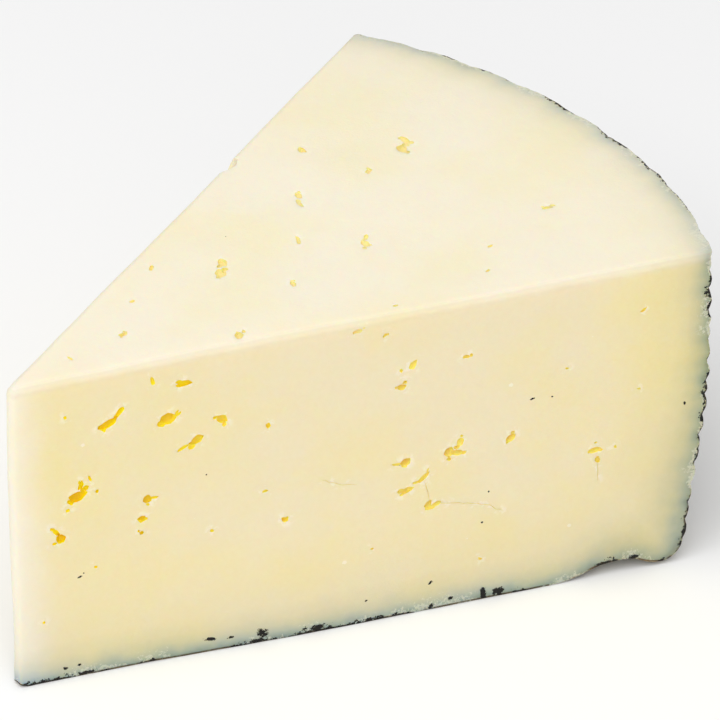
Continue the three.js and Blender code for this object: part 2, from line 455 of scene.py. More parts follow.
def wheel_profile():
    """Half of the wheel's section as (radius, height) rows, without its two ends on the axis."""
    ring_start = (FLAT_BASE_RADIUS + RING_RADIUS) / 2
    ring_end = (RING_RADIUS + LIP_RADIUS) / 2
    base = [(r, 0.0) for r in np.arange(BASE_STEP, FLAT_BASE_RADIUS + 0.1, BASE_STEP)]
    ring = bezier(
        (FLAT_BASE_RADIUS, 0), (ring_start, 0), (ring_start, RING_HEIGHT),
        (RING_RADIUS, RING_HEIGHT), RING_STEPS)
    lip = bezier(
        (RING_RADIUS, RING_HEIGHT), (ring_end, RING_HEIGHT), (ring_end, LIP_HEIGHT),
        (LIP_RADIUS, LIP_HEIGHT), LIP_STEPS)
    heel = bezier(
        (LIP_RADIUS, LIP_HEIGHT), (LIP_RADIUS + LIP_PULL_OUT, LIP_HEIGHT),
        (HEEL_RADIUS - HEEL_PULL_IN, HEEL_HEIGHT / 2), (HEEL_RADIUS, HEEL_HEIGHT), HEEL_STEPS)
    side_steps = round((SHOULDER_HEIGHT - HEEL_HEIGHT) / RIND_STEP)
    side = bezier(
        (HEEL_RADIUS, HEEL_HEIGHT), (HEEL_RADIUS + HEEL_PULL_OUT, HEEL_HEIGHT + HEEL_PULL_UP),
        (WHEEL_RADIUS, SHOULDER_HEIGHT - SHOULDER_PULL_DOWN), (WHEEL_RADIUS, SHOULDER_HEIGHT),
        side_steps)
    heights = np.arange(SHOULDER_HEIGHT + RIND_STEP, WHEEL_HALF_HEIGHT + 0.1, RIND_STEP)
    upper = [(WHEEL_RADIUS, z) for z in heights]
    return np.vstack([base, ring, lip, heel, side, upper])


def groove(phase, sharpness):
    """1 in the middle of a groove at each whole phase, 0 on the rounded crest between."""
    return 1 - abs(math.sin(math.pi * phase)) ** sharpness


def plait(u, v):
    """How deep the mould's plait is at u round the side and v up it: 0 on a crest, 1 at most."""
    place = Vector((u * WANDER_RATE, v * WANDER_RATE, 0.0))
    u += WANDER_ROUND * noise.noise(place)
    v += WANDER_UP * noise.noise(place + Vector((0, 0, 7.3)))
    band = math.floor(v / BAND_HEIGHT)
    lean = STRAND_SLANT if band % 2 else -STRAND_SLANT
    strand = groove((v + lean * u) / STRAND_PITCH + BAND_SHIFT * band, STRAND_SHARPNESS)
    seam = groove(v / BAND_HEIGHT, BAND_SHARPNESS)
    kept = PLAIT_KEPT + PLAIT_KEPT_RANGE * noise.noise(place * 2.1 + Vector((3.1, 0, 0)))
    return min(1.0, kept * (strand * STRAND_DEPTH + seam * BAND_DEPTH) / STRAND_DEPTH)


def side_share(height):
    """0 on the base and 1 on the side, where the plait is at its full depth."""
    t = min(max((height - LIP_HEIGHT) / HEEL_HEIGHT, 0.0), 1.0)
    return t * t * (3 - 2 * t)


def relief_at(x, y, z):
    """The relief of the rind at a point of it: 0 on a crest, 1 in the deepest groove."""
    angle = math.atan2(y, x - wheel_axis_x())
    return plait(angle * WHEEL_RADIUS, z) * side_share(z)


def rind_point(radius, height, angle):
    """A point of the wheel's surface, pressed in by the plait and by its own roughness."""
    u = angle * WHEEL_RADIUS
    side = side_share(height)
    place = Vector((radius * math.cos(angle), radius * math.sin(angle), height))
    lumps = 0.5 + 0.5 * noise.noise(place * LUMPS_PER_MM)
    grain = 0.5 + 0.5 * noise.noise(place)
    bulge = BULGE_HEIGHT * math.exp(-((angle + BULGE_ANGLE) / BULGE_SPREAD) ** 2)
    pressed = plait(u, height) * STRAND_DEPTH + SIDE_LUMPS * lumps + SIDE_GRAIN * grain
    radius -= side * (pressed - bulge)
    lift = (1 - side) * (BASE_LUMPS * max(0.0, lumps - BASE_FLATNESS) + BASE_GRAIN * grain)
    return (wheel_axis_x() + radius * math.cos(angle), radius * math.sin(angle), height + lift)


def wheel_mesh():
    """The lower half of the wheel, closed, fine only where the wedge is cut from it."""
    angle_step = RIND_STEP / WHEEL_RADIUS
    fine = np.arange(-FINE_HALF_ANGLE, FINE_HALF_ANGLE, angle_step)
    far = np.linspace(FINE_HALF_ANGLE, 2 * math.pi - FINE_HALF_ANGLE, COARSE_COLUMNS)
    angles = np.concatenate([fine, far[:-1]])
    profile = wheel_profile()
    columns = len(angles)
    verts = [(wheel_axis_x(), 0.0, 0.0)]
    for radius, height in profile:
        verts += [rind_point(radius, height, a) for a in angles]
    verts.append((wheel_axis_x(), 0.0, WHEEL_HALF_HEIGHT))
    faces = []
    for j in range(columns):
        k = (j + 1) % columns
        faces.append((0, 1 + k, 1 + j))
        for i in range(len(profile) - 1):
            row, above = 1 + i * columns, 1 + (i + 1) * columns
            faces.append((row + j, row + k, above + k, above + j))
        last = 1 + (len(profile) - 1) * columns
        faces.append((last + j, last + k, len(verts) - 1))
    mesh = bpy.data.meshes.new("wheel")
    mesh.from_pydata(verts, [], faces)
    return mesh


# ---------------------------------------------------------------- the knife's path


def sector_outline(inset):
    """The knife's path seen from above, drawn in by inset: a rounded tip and two far corners."""
    centre_x = TIP_ROUNDING / math.sin(HALF_ANGLE)
    radius = TIP_ROUNDING - inset
    first = math.pi / 2 + HALF_ANGLE
    turn = 2 * math.pi - 2 * first
    tip = []
    for i in range(TIP_STEPS + 1):
        a = first + turn * i / TIP_STEPS
        tip.append((centre_x + radius * math.cos(a), radius * math.sin(a)))
    reach = CUT_LENGTH + 3 * OVERCUT
    far_x = reach * math.cos(HALF_ANGLE)
    far_y = reach * math.sin(HALF_ANGLE) - inset / math.cos(HALF_ANGLE)
    return tip + [(far_x, -far_y), (far_x, far_y)]


def slice_faces(bm, axis, positions, keep=lambda face: True):
    """Cuts a mesh's faces along planes across one axis, so that they become a fine grid."""
    normal = [0.0, 0.0, 0.0]
    normal[axis] = 1.0
    for position in positions:
        faces = [f for f in bm.faces if keep(f)]
        edges = {e for f in faces for e in f.edges}
        verts = {v for f in faces for v in f.verts}
        bmesh.ops.bisect_plane(
            bm, geom=[*verts, *edges, *faces], dist=1e-5,
            plane_co=[n * position for n in normal], plane_no=normal)


def knife_mesh():
    """Everything between the two upright cuts and under the top cut, its faces gridded."""
    bm = bmesh.new()
    levels = [(-OVERCUT, 0.0)]
    for i in range(EDGE_STEPS + 1):
        a = math.pi / 2 * i / EDGE_STEPS
        z = TIP_HEIGHT - EDGE_ROUNDING * (1 - math.sin(a))
        levels.append((z, EDGE_ROUNDING * (1 - math.cos(a))))
    rings = []
    for z, inset in levels:
        rings.append([bm.verts.new((x, y, z)) for x, y in sector_outline(inset)])
    for lower, upper in zip(rings, rings[1:]):
        for i in range(len(lower)):
            j = (i + 1) % len(lower)
            bm.faces.new((lower[i], lower[j], upper[j], upper[i]))
    bm.faces.new(rings[-1])
    bm.faces.new(reversed(rings[0]))
    bm.normal_update()
    across = np.arange(-GRID_HALF_WIDTH, GRID_HALF_WIDTH, CUT_STEP)
    slice_faces(bm, 2, np.arange(GRID_FOOT, TIP_HEIGHT - EDGE_ROUNDING, CUT_STEP))
    slice_faces(bm, 0, np.arange(GRID_START, GRID_END, CUT_STEP))
    slice_faces(bm, 1, across, lambda face: face.normal.z > 0.9)
    lean_and_rise = Matrix((
        (1, 0, TIP_LEAN / TIP_HEIGHT, -TIP_LEAN),
        (0, 1, 0, 0),
        (TOP_RISE, 0, 1, 0),
        (0, 0, 0, 1),
    ))
    bm.transform(lean_and_rise)
    mesh = bpy.data.meshes.new("knife")
    bm.to_mesh(mesh)
    bm.free()
    return mesh


# ---------------------------------------------------------------- eyes, cracks and the chip


def cut_frame(side):
    """Axes of an upright cut, with its origin at the tip's foot: along, up and out of it."""
    along = Vector((math.cos(HALF_ANGLE), side * math.sin(HALF_ANGLE), 0))
    up = Vector((TIP_LEAN, 0, TIP_HEIGHT)).normalized()
    out = along.cross(up) * -side
    return along, up, out, Vector((-TIP_LEAN, 0, 0))


def top_frame():
    """The same for the top cut, with its origin at the tip's top: along, across and out of it."""
    along = Vector((1, 0, TOP_RISE)).normalized()
    across = Vector((0, 1, 0))
    return along, across, along.cross(across), Vector((0, 0, TIP_HEIGHT))


def pebble(draw, size, matrix):
    """An irregular, faceted pebble of that size, blunt at one end and drawn out at the other."""
    bm = bmesh.new()
    bmesh.ops.create_icosphere(bm, subdivisions=1, radius=1.0)
    for v in bm.verts:
        v.co *= draw.uniform(*PEBBLE_CORNERS)
    bmesh.ops.subdivide_edges(bm, edges=bm.edges[:], cuts=1, use_grid_fill=True, smooth=0.15)
    bmesh.ops.triangulate(bm, faces=bm.faces[:])
    for v in bm.verts:
        taper = 1 - PEBBLE_TAPER * v.co.x
        v.co = Vector((v.co.x * size[0], v.co.y * size[1] * taper, v.co.z * size[2]))
    bm.transform(matrix)
    if matrix.determinant() < 0:
        bmesh.ops.reverse_faces(bm, faces=bm.faces[:])
    mesh = bpy.data.meshes.new("eye")
    bm.to_mesh(mesh)
    bm.free()
    return mesh


def eye_meshes(draw, face, eyes):
    """Each eye is a main pocket, and two smaller ones break the outline of the broader ones."""
    along, up, out, origin = face
    axes = Matrix((along, up, out)).transposed().to_4x4()
    for distance, height, length, breadth, slant in eyes:
        turn = math.radians(slant)
        for part in range(POCKETS if breadth >= BROAD_EYE else 1):
            share = 1.0 if part == 0 else draw.uniform(*SMALL_POCKET)
            shift = 0.0 if part == 0 else draw.choice((-0.5, 0.5)) * length * draw.uniform(0.6, 1)
            aside = 0.0 if part == 0 else draw.uniform(-0.5, 0.5) * breadth
            x = distance + shift * math.cos(turn) - aside * math.sin(turn)
            y = height + shift * math.sin(turn) + aside * math.cos(turn)
            depth = breadth * EYE_DEPTH_RATIO * draw.uniform(0.85, 1.25) * share
            centre = origin + along * x + up * y - out * depth * EYE_SINK_RATIO
            stray = draw.uniform(-POCKET_SWING, POCKET_SWING) * (part > 0)
            swing = Matrix.Rotation(turn + stray, 4, "Z")
            long = length * (1.0 if part == 0 else 0.7)
            size = (long * EYE_GROWTH * share, breadth * EYE_GROWTH * share, depth)
            yield pebble(draw, size, Matrix.Translation(centre) @ axes @ swing)


def jittered_line(draw, points):
    """More points between the given ones, each a little off the straight line."""
    line = []
    for a, b in zip(points, points[1:]):
        steps = max(1, round(math.dist(a, b) / CRACK_STEP))
        for i in range(steps):
            t = i / steps
            jitter = draw.uniform(-CRACK_JITTER, CRACK_JITTER)
            line.append((a[0] + (b[0] - a[0]) * t, a[1] + (b[1] - a[1]) * t + jitter))
    line.append(points[-1])
    return line


def crack_mesh(draw, face, points, width):
    """A V-shaped blade along a jittered line, closed at both ends."""
    along, up, out, origin = face
    line = jittered_line(draw, points)
    bm = bmesh.new()
    rows = []
    for i, (distance, height) in enumerate(line):
        middle = origin + along * distance + up * height
        before, after = line[max(i - 1, 0)], line[min(i + 1, len(line) - 1)]
        heading = (along * (after[0] - before[0]) + up * (after[1] - before[1])).normalized()
        sideways = heading.cross(out)
        end_taper = min(1.0, 0.25 + 0.5 * min(i, len(line) - 1 - i))
        half = sideways * width / 2 * end_taper
        rows.append([
            bm.verts.new(middle + half + out * BLADE_STANDS_OUT),
            bm.verts.new(middle - half + out * BLADE_STANDS_OUT),
            bm.verts.new(middle - out * CRACK_DEPTH * end_taper),
        ])
    for a, b in zip(rows, rows[1:]):
        for i in range(3):
            j = (i + 1) % 3
            bm.faces.new((a[i], a[j], b[j], b[i]))
    bm.faces.new(reversed(rows[0]))
    bm.faces.new(rows[-1])
    bmesh.ops.triangulate(bm, faces=bm.faces[:])
    bmesh.ops.recalc_face_normals(bm, faces=bm.faces[:])
    mesh = bpy.data.meshes.new("crack")
    bm.to_mesh(mesh)
    bm.free()
    return mesh


def chip_mesh(draw):
    """What is broken out of the top edge of the back cut."""
    x = CHIP_ALONG * math.cos(HALF_ANGLE)
    y = CHIP_ALONG * math.sin(HALF_ANGLE)
    place = Matrix.Translation((x, y, TIP_HEIGHT + TOP_RISE * x))
    turn = Matrix.Rotation(HALF_ANGLE, 4, "Z")
    return pebble(draw, [s / 2 for s in CHIP_SIZE], place @ turn)


def pinholes(draw, face):
    """Small eyes strewn over one upright cut, between the larger ones."""
    made = []
    for _ in range(PINHOLES):
        distance = draw.uniform(*PINHOLE_DISTANCE)
        height = draw.uniform(*PINHOLE_HEIGHT)
        size = draw.uniform(*PINHOLE_SIZE)
        made.append((distance, height, size * 1.4, size, draw.uniform(0, 180)))
    return eye_meshes(draw, face, made)


def hollow_meshes():
    """Every solid that is cut out of the wedge: the eyes with the cracks, and the chip."""
    draw = random.Random(5)
    front, back, top = cut_frame(-1), cut_frame(1), top_frame()
    eyes = [
        *eye_meshes(draw, front, FRONT_EYES),
        *eye_meshes(draw, back, BACK_EYES),
        *eye_meshes(draw, top, TOP_EYES),
        *pinholes(draw, front),
        *pinholes(draw, back),
    ]
    for points, width in FRONT_CRACKS:
        eyes.append(crack_mesh(draw, front, points, width))
    for points, width in BACK_CRACKS:
        eyes.append(crack_mesh(draw, back, points, width))
    return eyes, chip_mesh(draw)


# ---------------------------------------------------------------- putting the mesh together


def as_tool(mesh, surface, holders, collection):
    """An object whose faces all carry the number of the surface that they will leave."""
    for material in holders:
        mesh.materials.append(material)
    mesh.polygons.foreach_set("material_index", [surface] * len(mesh.polygons))
    tool = bpy.data.objects.new(mesh.name, mesh)
    collection.objects.link(tool)
    return tool


def combined(target, operation, tool=None, group=None):
    """The mesh of target met with, or less, a tool object or a whole collection of them."""
    modifier = target.modifiers.new("cut", "BOOLEAN")
    modifier.operation = operation
    modifier.solver = "MANIFOLD"
    if group is None:
        modifier.object = tool
    else:
        modifier.operand_type = "COLLECTION"
        modifier.collection = group
    bpy.context.view_layer.update()
    graph = bpy.context.evaluated_depsgraph_get()
    result = bpy.data.meshes.new_from_object(target.evaluated_get(graph))
    target.modifiers.remove(modifier)
    target.data = result


def cut_wedge():
    """The wedge as one closed mesh, each face marked by the surface that it is on."""
    bench = bpy.data.collections.new("bench")
    bpy.context.scene.collection.children.link(bench)
    drill = bpy.data.collections.new("drill")
    bpy.context.scene.collection.children.link(drill)
    holders = [bpy.data.materials.new(name) for name in ("cut", "rind", "eye")]
    wedge = as_tool(knife_mesh(), CUT, holders, bench)
    combined(wedge, "INTERSECT", tool=as_tool(wheel_mesh(), RIND, holders, bench))
    eyes, chip = hollow_meshes()
    for mesh in eyes:
        as_tool(mesh, EYE, holders, drill)
    as_tool(chip, CUT, holders, drill)
    combined(wedge, "DIFFERENCE", group=drill)
    mesh = wedge.data
    for collection in (bench, drill):
        for tool in list(collection.objects):
            bpy.data.objects.remove(tool)
        bpy.data.collections.remove(collection)
    return mesh


def tidied(mesh):
    """The mesh with no stray slivers, in triangles, so that every tool reads the same faces."""
    bm = bmesh.new()
    bm.from_mesh(mesh)
    bmesh.ops.remove_doubles(bm, verts=bm.verts[:], dist=WELD_GAP)
    bmesh.ops.dissolve_degenerate(bm, edges=bm.edges[:], dist=WELD_GAP)
    bmesh.ops.triangulate(bm, faces=bm.faces[:])
    bm.to_mesh(mesh)
    bm.free()
    return mesh


def read_vectors(items, name):
    values = np.empty(len(items) * 3)
    items.foreach_get(name, values)
    return values.reshape(-1, 3)


def corner_sets(mesh, surface_of):
    """For each surface, its triangles and the set of their corners."""
    corners = np.empty(len(mesh.loops), int)
    mesh.loops.foreach_get("vertex_index", corners)
    corners = corners.reshape(-1, 3)
    found = {}
    for surface in (CUT, RIND, EYE):
        triangles = corners[surface_of == surface]
        found[surface] = triangles, np.unique(triangles)
    return found


def gaps_to(places, triangles, which, farthest):
    """How far each of those points is from a set of triangles, and farthest where it is more."""
    tree = BVHTree.FromPolygons(places.tolist(), triangles.tolist())
    gaps = np.full(len(places), farthest)
    for i in which:
        gap = tree.find_nearest(Vector(places[i]), farthest)[3]
        if gap is not None:
            gaps[i] = gap
    return gaps


def depth_below_cuts(places):
    """How far each point lies inside the nearest of the three flat cuts."""
    depths = []
    for along, up, out, origin in (cut_frame(-1), cut_frame(1), top_frame()):
        depths.append((np.array(origin) - places) @ np.array(out))
    return np.maximum(np.min(depths, axis=0), 0)


def add_attribute(mesh, name, domain, values):
    mesh.attributes.new(name, "FLOAT", domain).data.foreach_set("value", values.astype(np.float32))


def mark_surfaces(mesh):
    """Writes what the material reads: each face's surface, the relief, and distances in mm.

    Gives back how far each point is from the rind.
    """
    surface_of = np.empty(len(mesh.polygons), int)
    mesh.polygons.foreach_get("material_index", surface_of)
    places = read_vectors(mesh.vertices, "co")
    sets = corner_sets(mesh, surface_of)
    pale = np.union1d(sets[CUT][1], sets[EYE][1])
    rind_gap = gaps_to(places, sets[RIND][0], pale, RIND_REACH)
    rind_gap[sets[RIND][1]] = 0
    eye_gap = gaps_to(places, sets[EYE][0], sets[CUT][1], EYE_REACH)
    eye_gap[sets[EYE][1]] = 0
    eye_depth = np.zeros(len(places))
    eye_depth[sets[EYE][1]] = depth_below_cuts(places[sets[EYE][1]])
    relief = np.zeros(len(places))
    for i in sets[RIND][1]:
        relief[i] = relief_at(*places[i])
    along, across, out, origin = top_frame()
    top_depth = (np.array(origin) - places) @ np.array(out)
    add_attribute(mesh, "surface", "FACE", surface_of)
    add_attribute(mesh, "rind_gap", "POINT", rind_gap)
    add_attribute(mesh, "eye_gap", "POINT", eye_gap)
    add_attribute(mesh, "eye_depth", "POINT", eye_depth)
    add_attribute(mesh, "relief", "POINT", relief)
    add_attribute(mesh, "top_depth", "POINT", top_depth)
    add_attribute(mesh, "tip_gap", "POINT", places[:, 0])
    return rind_gap


def knife_wave(x, y, z, rind_gap):
    """How far a hand-held knife leaves a point off its flat cut. The base stays flat."""
    place = Vector((x, y, z))
    long = noise.noise_vector(place / LONG_WAVE)
    short = noise.noise_vector(place / SHORT_WAVE)
    shift = long * LONG_STRAY + short * SHORT_STRAY * min(1.0, rind_gap / CALM_BY_RIND)
    shift.z *= min(1.0, z / CALM_BY_BASE)
    return shift


def back_bow(x, y, z):
    """How far the back cut is drawn in, most at the middle of its top edge."""
    if y <= 0:
        return 0.0
    return BACK_BOW * math.sin(math.pi * min(max(x / BACK_BOW_END, 0), 1)) * z / TIP_HEIGHT


def tip_push(x, z):
    """How far the tip's upright edge is pushed out, in a wave up its height."""
    nearness = max(0.0, 1 - x / TIP_PUSH_REACH) ** 2
    return nearness * (TIP_PUSH + TIP_WAVE * math.cos((z - TIP_WAVE_CREST) / TIP_WAVE_STRETCH))


def tip_wear(x, z):
    """How much the tip is worn: up at its foot, and down at its top."""
    foot = max(0.0, 1 - (x + TIP_LEAN) / FOOT_SIZE) * max(0.0, 1 - z / FOOT_SIZE)
    nose = max(0.0, 1 - x / NOSE_LENGTH) * max(0.0, 1 - (TIP_HEIGHT - z) / NOSE_DEPTH)
    return FOOT_WEAR * foot - NOSE_WEAR * nose


def wavy(places, rind_gap):
    """The points moved by the unsteady knife and by wear."""
    noise.seed_set(KNIFE_SEED)
    moved = places.copy()
    for i, (x, y, z) in enumerate(places):
        moved[i] += knife_wave(x, y, z, rind_gap[i])
        moved[i, 0] -= tip_push(x, z)
        moved[i, 1] -= back_bow(x, y, z)
        moved[i, 2] += tip_wear(x, z)
    return moved


def tip_x():
    """Where the tip, from which the mesh is measured, lies along X in the frame, in metres."""
    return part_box(NODE)[1][0] - (wheel_axis_x() + WHEEL_RADIUS) * MM


def wedge_object():
    """The wedge in the frame, in metres, smooth but for its sharp cut edges."""
    mesh = tidied(cut_wedge())
    rind_gap = mark_surfaces(mesh)
    mesh.materials.clear()
    mesh.polygons.foreach_set("material_index", [0] * len(mesh.polygons))
    places = wavy(read_vectors(mesh.vertices, "co"), rind_gap) * MM
    places[:, 0] += tip_x()
    places = np.clip(places, *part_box(NODE))
    mesh.vertices.foreach_set("co", places.ravel())
    mesh.shade_smooth()
    mesh.set_sharp_from_angle(angle=SHARP_ANGLE)
    mesh.update()
    mesh.name = "cheese"
    wedge = bpy.data.objects.new("cheese", mesh)
    bpy.context.scene.collection.objects.link(wedge)
    return wedge


# ---------------------------------------------------------------- the material


class Nodes:
    """Short calls that add a material's nodes and join them up."""

    def __init__(self, name):
        self.material = bpy.data.materials.new(name)
        self.material.use_nodes = True
        self.tree = self.material.node_tree
        self.shader = self.tree.nodes["Principled BSDF"]
        self.place = self.new("ShaderNodeTexCoord").outputs["Object"]

    def new(self, kind, **settings):
        node = self.tree.nodes.new(kind)
        for name, value in settings.items():
            setattr(node, name, value)
        return node

    def plug(self, value, socket):
        if isinstance(value, bpy.types.NodeSocket):
            self.tree.links.new(value, socket)
        else:
            socket.default_value = value

    def attribute(self, name):
        return self.new("ShaderNodeAttribute", attribute_name=name).outputs["Fac"]

    def math(self, operation, a, b=0.0, clamp=False):
        node = self.new("ShaderNodeMath", operation=operation, use_clamp=clamp)
        self.plug(a, node.inputs[0])
        self.plug(b, node.inputs[1])
        return node.outputs[0]

    def shifted_place(self, offset):
        """The place on the object, moved along, so that two patterns don't coincide."""
        mapping = self.new("ShaderNodeMapping")
        self.plug(self.place, mapping.inputs["Vector"])
        self.plug((offset, offset, offset), mapping.inputs["Location"])
        return mapping.outputs[0]

    def noise(self, size_mm, detail=2.0, roughness=0.5, offset=0.0):
        """Noise whose lumps are about that many millimetres across."""
        node = self.new("ShaderNodeTexNoise")
        self.plug(self.shifted_place(offset), node.inputs["Vector"])
        self.plug(1 / (size_mm * MM), node.inputs["Scale"])
        self.plug(detail, node.inputs["Detail"])
        self.plug(roughness, node.inputs["Roughness"])
        return node.outputs["Fac"]

    def cells(self, size_mm, offset=0.0):
        """The distance to the nearest of many strewn points, in cells, and a chance for each."""
        node = self.new("ShaderNodeTexVoronoi")
        self.plug(self.shifted_place(offset), node.inputs["Vector"])
        self.plug(1 / (size_mm * MM), node.inputs["Scale"])
        chance = self.new("ShaderNodeSeparateXYZ")
        self.plug(node.outputs["Color"], chance.inputs[0])
        return node.outputs["Distance"], chance.outputs[0]

    def ramp(self, value, stops):
        """A colour for each value; stops are (position, linear colour)."""
        node = self.new("ShaderNodeValToRGB")
        elements = node.color_ramp.elements
        while len(elements) < len(stops):
            elements.new(0.5)
        for element, (position, colour) in zip(elements, stops):
            element.position = position
            element.color = (*colour, 1)
        self.plug(value, node.inputs[0])
        return node.outputs["Color"]

    def step(self, value, low, high):
        """0 below low, 1 above high, and a smooth climb between; low may be the larger."""
        node = self.new("ShaderNodeMapRange", interpolation_type="SMOOTHSTEP")
        self.plug(value, node.inputs["Value"])
        self.plug(low, node.inputs["From Min"])
        self.plug(high, node.inputs["From Max"])
        return node.outputs["Result"]

    def mix(self, share, a, b, blend="MIX"):
        node = self.new("ShaderNodeMix", data_type="RGBA", blend_type=blend)
        self.plug(share, node.inputs["Factor"])
        for value, socket in ((a, node.inputs[6]), (b, node.inputs[7])):
            self.plug((*value, 1) if isinstance(value, tuple) else value, socket)
        return node.outputs[2]

    def bump(self, height, depth_mm, normal=None):
        node = self.new("ShaderNodeBump")
        self.plug(height, node.inputs["Height"])
        self.plug(depth_mm * MM, node.inputs["Distance"])
        self.plug(1.0, node.inputs["Strength"])
        if normal is not None:
            self.plug(normal, node.inputs["Normal"])
        return node.outputs["Normal"]


def paste_colour(n, top, top_depth, tip_gap, rind_gap):
    """Ivory paste: pinkish in the middle, yellower near the tip and rind, and pale on the top cut,
    which is painted light standing in for the stronger light falling on the top.
    """
    patch = n.math("MULTIPLY", n.step(n.noise(16, 3), 0.40, 0.7), 0.5)
    outer = n.math("MAXIMUM", n.step(rind_gap, 24, 9), n.step(tip_gap, 30, 6))
    outer = n.math("MULTIPLY", outer, n.step(top_depth, 50, 34))
    yellow = n.math("ADD", patch, n.math("MULTIPLY", outer, 0.5), clamp=True)
    side = n.mix(yellow, SIDE_PASTE, SIDE_PASTE_YELLOW)
    # Painted light: the top cut gets a paler paste, for the brighter light that falls on it
    pale = n.mix(n.step(n.noise(20, 3, offset=0.3), 0.35, 0.7), LIT_TOP_PASTE, LIT_TOP_PASTE_YELLOW)
    colour = n.mix(top, side, pale)
    # The worn share is painted light: the paste turns whiter at the very tip, for light shining
    # through the thin tip
    worn = n.step(n.math("ADD", tip_gap, n.math("MULTIPLY", n.noise(5, 2), 2.0)), 9.0, 1.5)
    colour = n.mix(n.math("MULTIPLY", worn, 0.85), colour, LIT_TIP_PASTE)
    crumb = n.step(n.noise(0.9, 3, 0.6), 0.3, 0.75)
    return n.mix(n.math("MULTIPLY", crumb, 0.08), colour, PASTE_LIGHT)


def evened_edges(n, colour, top_depth):
    """The rounded edges of the top cut face the light, so their paste is made a little darker."""
    edge = n.math("MULTIPLY", n.step(top_depth, 0.02, 0.3), n.step(top_depth, 2.0, 0.7))
    colour = n.mix(edge, colour, EDGE_TONE, "MULTIPLY")
    facing = n.new("ShaderNodeSeparateXYZ")
    n.plug(n.new("ShaderNodeNewGeometry").outputs["Normal"], facing.inputs[0])
    up = facing.outputs["Z"]
    ridge = n.math("MULTIPLY", n.step(up, 0.998, 0.965), n.step(up, 0.4, 0.85))
    ridge = n.math("MULTIPLY", ridge, n.step(top_depth, 1.6, 1.2))
    return n.mix(ridge, colour, RIDGE_TONE, "MULTIPLY")


def halo(n, colour, rind_gap, top, top_depth, tip_gap):
    """The paste darkens and greys under the rind, farthest in at the foot of the wheel's side."""
    high = n.math("MULTIPLY", n.step(top_depth, 50, 8), HALO_NARROWER_HIGH)
    inner = n.math("MULTIPLY", n.step(tip_gap, 94, 74), HALO_NARROWER_INSIDE)
    narrowing = n.math("ADD", n.math("ADD", high, inner), HALO_NARROWNESS)
    rind_gap = n.math("MULTIPLY", rind_gap, narrowing)
    uneven = n.math("MULTIPLY", n.math("SUBTRACT", n.noise(4, 2), 0.5), 2.6)
    reach = n.math("MAXIMUM", n.math("ADD", rind_gap, uneven), n.math("MULTIPLY", rind_gap, 0.4))
    share = n.math("DIVIDE", reach, RIND_REACH, clamp=True)
    tint = n.ramp(share, [(gap / RIND_REACH, shade) for gap, shade in HALO])
    beside = n.math("MULTIPLY", n.step(rind_gap, 7, 1), n.step(tip_gap, 78, 90))
    tint = n.mix(beside, tint, SIDE_TONE, "MULTIPLY")
    shaded = n.mix(1.0, colour, tint, "MULTIPLY")
    return n.mix(n.math("MULTIPLY", top, HALO_FADES_ON_TOP), shaded, colour)


def rind_colour(n, relief):
    """Dark in the grooves and in patches, worn tan crests, and grey-green bloom here and there."""
    fine = n.noise(1.2, 4, 0.65)
    patch = n.noise(8, 4, 0.6, offset=0.2)
    crest = n.mix(n.step(n.noise(2.4, 4, 0.6, offset=0.11), 0.38, 0.62), RIND_TAN, RIND_BLOOM)
    crest = n.mix(n.step(n.noise(3.6, 4, 0.7, offset=0.05), 0.50, 0.60), crest, RIND_BROWN)
    dark = n.mix(fine, RIND_BLACK, RIND_BROWN)
    cover = n.math("ADD", n.math("MULTIPLY", relief, 0.55), n.math("MULTIPLY", patch, 1.1))
    cover = n.math("ADD", cover, n.math("MULTIPLY", fine, 0.5))
    return n.mix(n.step(cover, 0.88, 1.08), crest, dark)


def ragged_edge(n, rind_gap, size_mm, reach_mm, offset):
    """Torn patches that cling to the rind's edge, in some stretches of it and not in others."""
    stretch = n.step(n.noise(9, 3, 0.6, offset=offset), 0.46, 0.62)
    grain = n.noise(size_mm, 4, 0.7, offset=offset)
    reach = n.math("MULTIPLY", stretch, n.math("MULTIPLY", n.step(grain, 0.35, 0.75), reach_mm))
    over = n.math("SUBTRACT", reach, rind_gap)
    return n.step(over, -0.05, 0.08)


def speck(n, centre, length, breadth, slant):
    """A ragged dark crumb of that size on the front cut: distance from the tip, height."""
    along, up, out, origin = cut_frame(-1)
    middle = origin + along * centre[0] + up * centre[1] + Vector((tip_x() / MM, 0, 0))
    mapping = n.new("ShaderNodeMapping", vector_type="TEXTURE")
    turn = Matrix((along, up, out)).transposed() @ Matrix.Rotation(math.radians(slant), 3, "Z")
    n.plug(n.place, mapping.inputs["Vector"])
    n.plug(middle * MM, mapping.inputs["Location"])
    n.plug(turn.to_euler(), mapping.inputs["Rotation"])
    n.plug((length / 2 * MM, breadth / 2 * MM, MM), mapping.inputs["Scale"])
    away = n.new("ShaderNodeVectorMath", operation="LENGTH")
    n.plug(mapping.outputs[0], away.inputs[0])
    return away.outputs["Value"]


def specks(n):
    """The dark crumbs that the knife left, the nearest of them deciding each point."""
    nearest = 9.0
    for centre, length, breadth, slant in FRONT_SPECKS:
        nearest = n.math("MINIMUM", speck(n, centre, length, breadth, slant), nearest)
    torn = n.math("MULTIPLY", n.math("SUBTRACT", n.noise(0.8, 5, 0.75), 0.5), 4.0)
    return n.step(n.math("ADD", nearest, torn), 1.1, 0.85)


def strewn(n, size_mm, share, radius_mm, offset):
    """Small round marks in a random share of the cells of a strewn pattern."""
    distance, chance = n.cells(size_mm, offset)
    radius = n.math("MULTIPLY", n.math("DIVIDE", chance, share), radius_mm / size_mm)
    ragged = n.math("MULTIPLY", n.math("SUBTRACT", n.noise(0.3, 2), 0.5), radius_mm / size_mm)
    inside = n.step(n.math("ADD", distance, ragged), n.math("MULTIPLY", radius, 1.2), radius)
    return n.math("MULTIPLY", inside, n.math("LESS_THAN", chance, share))


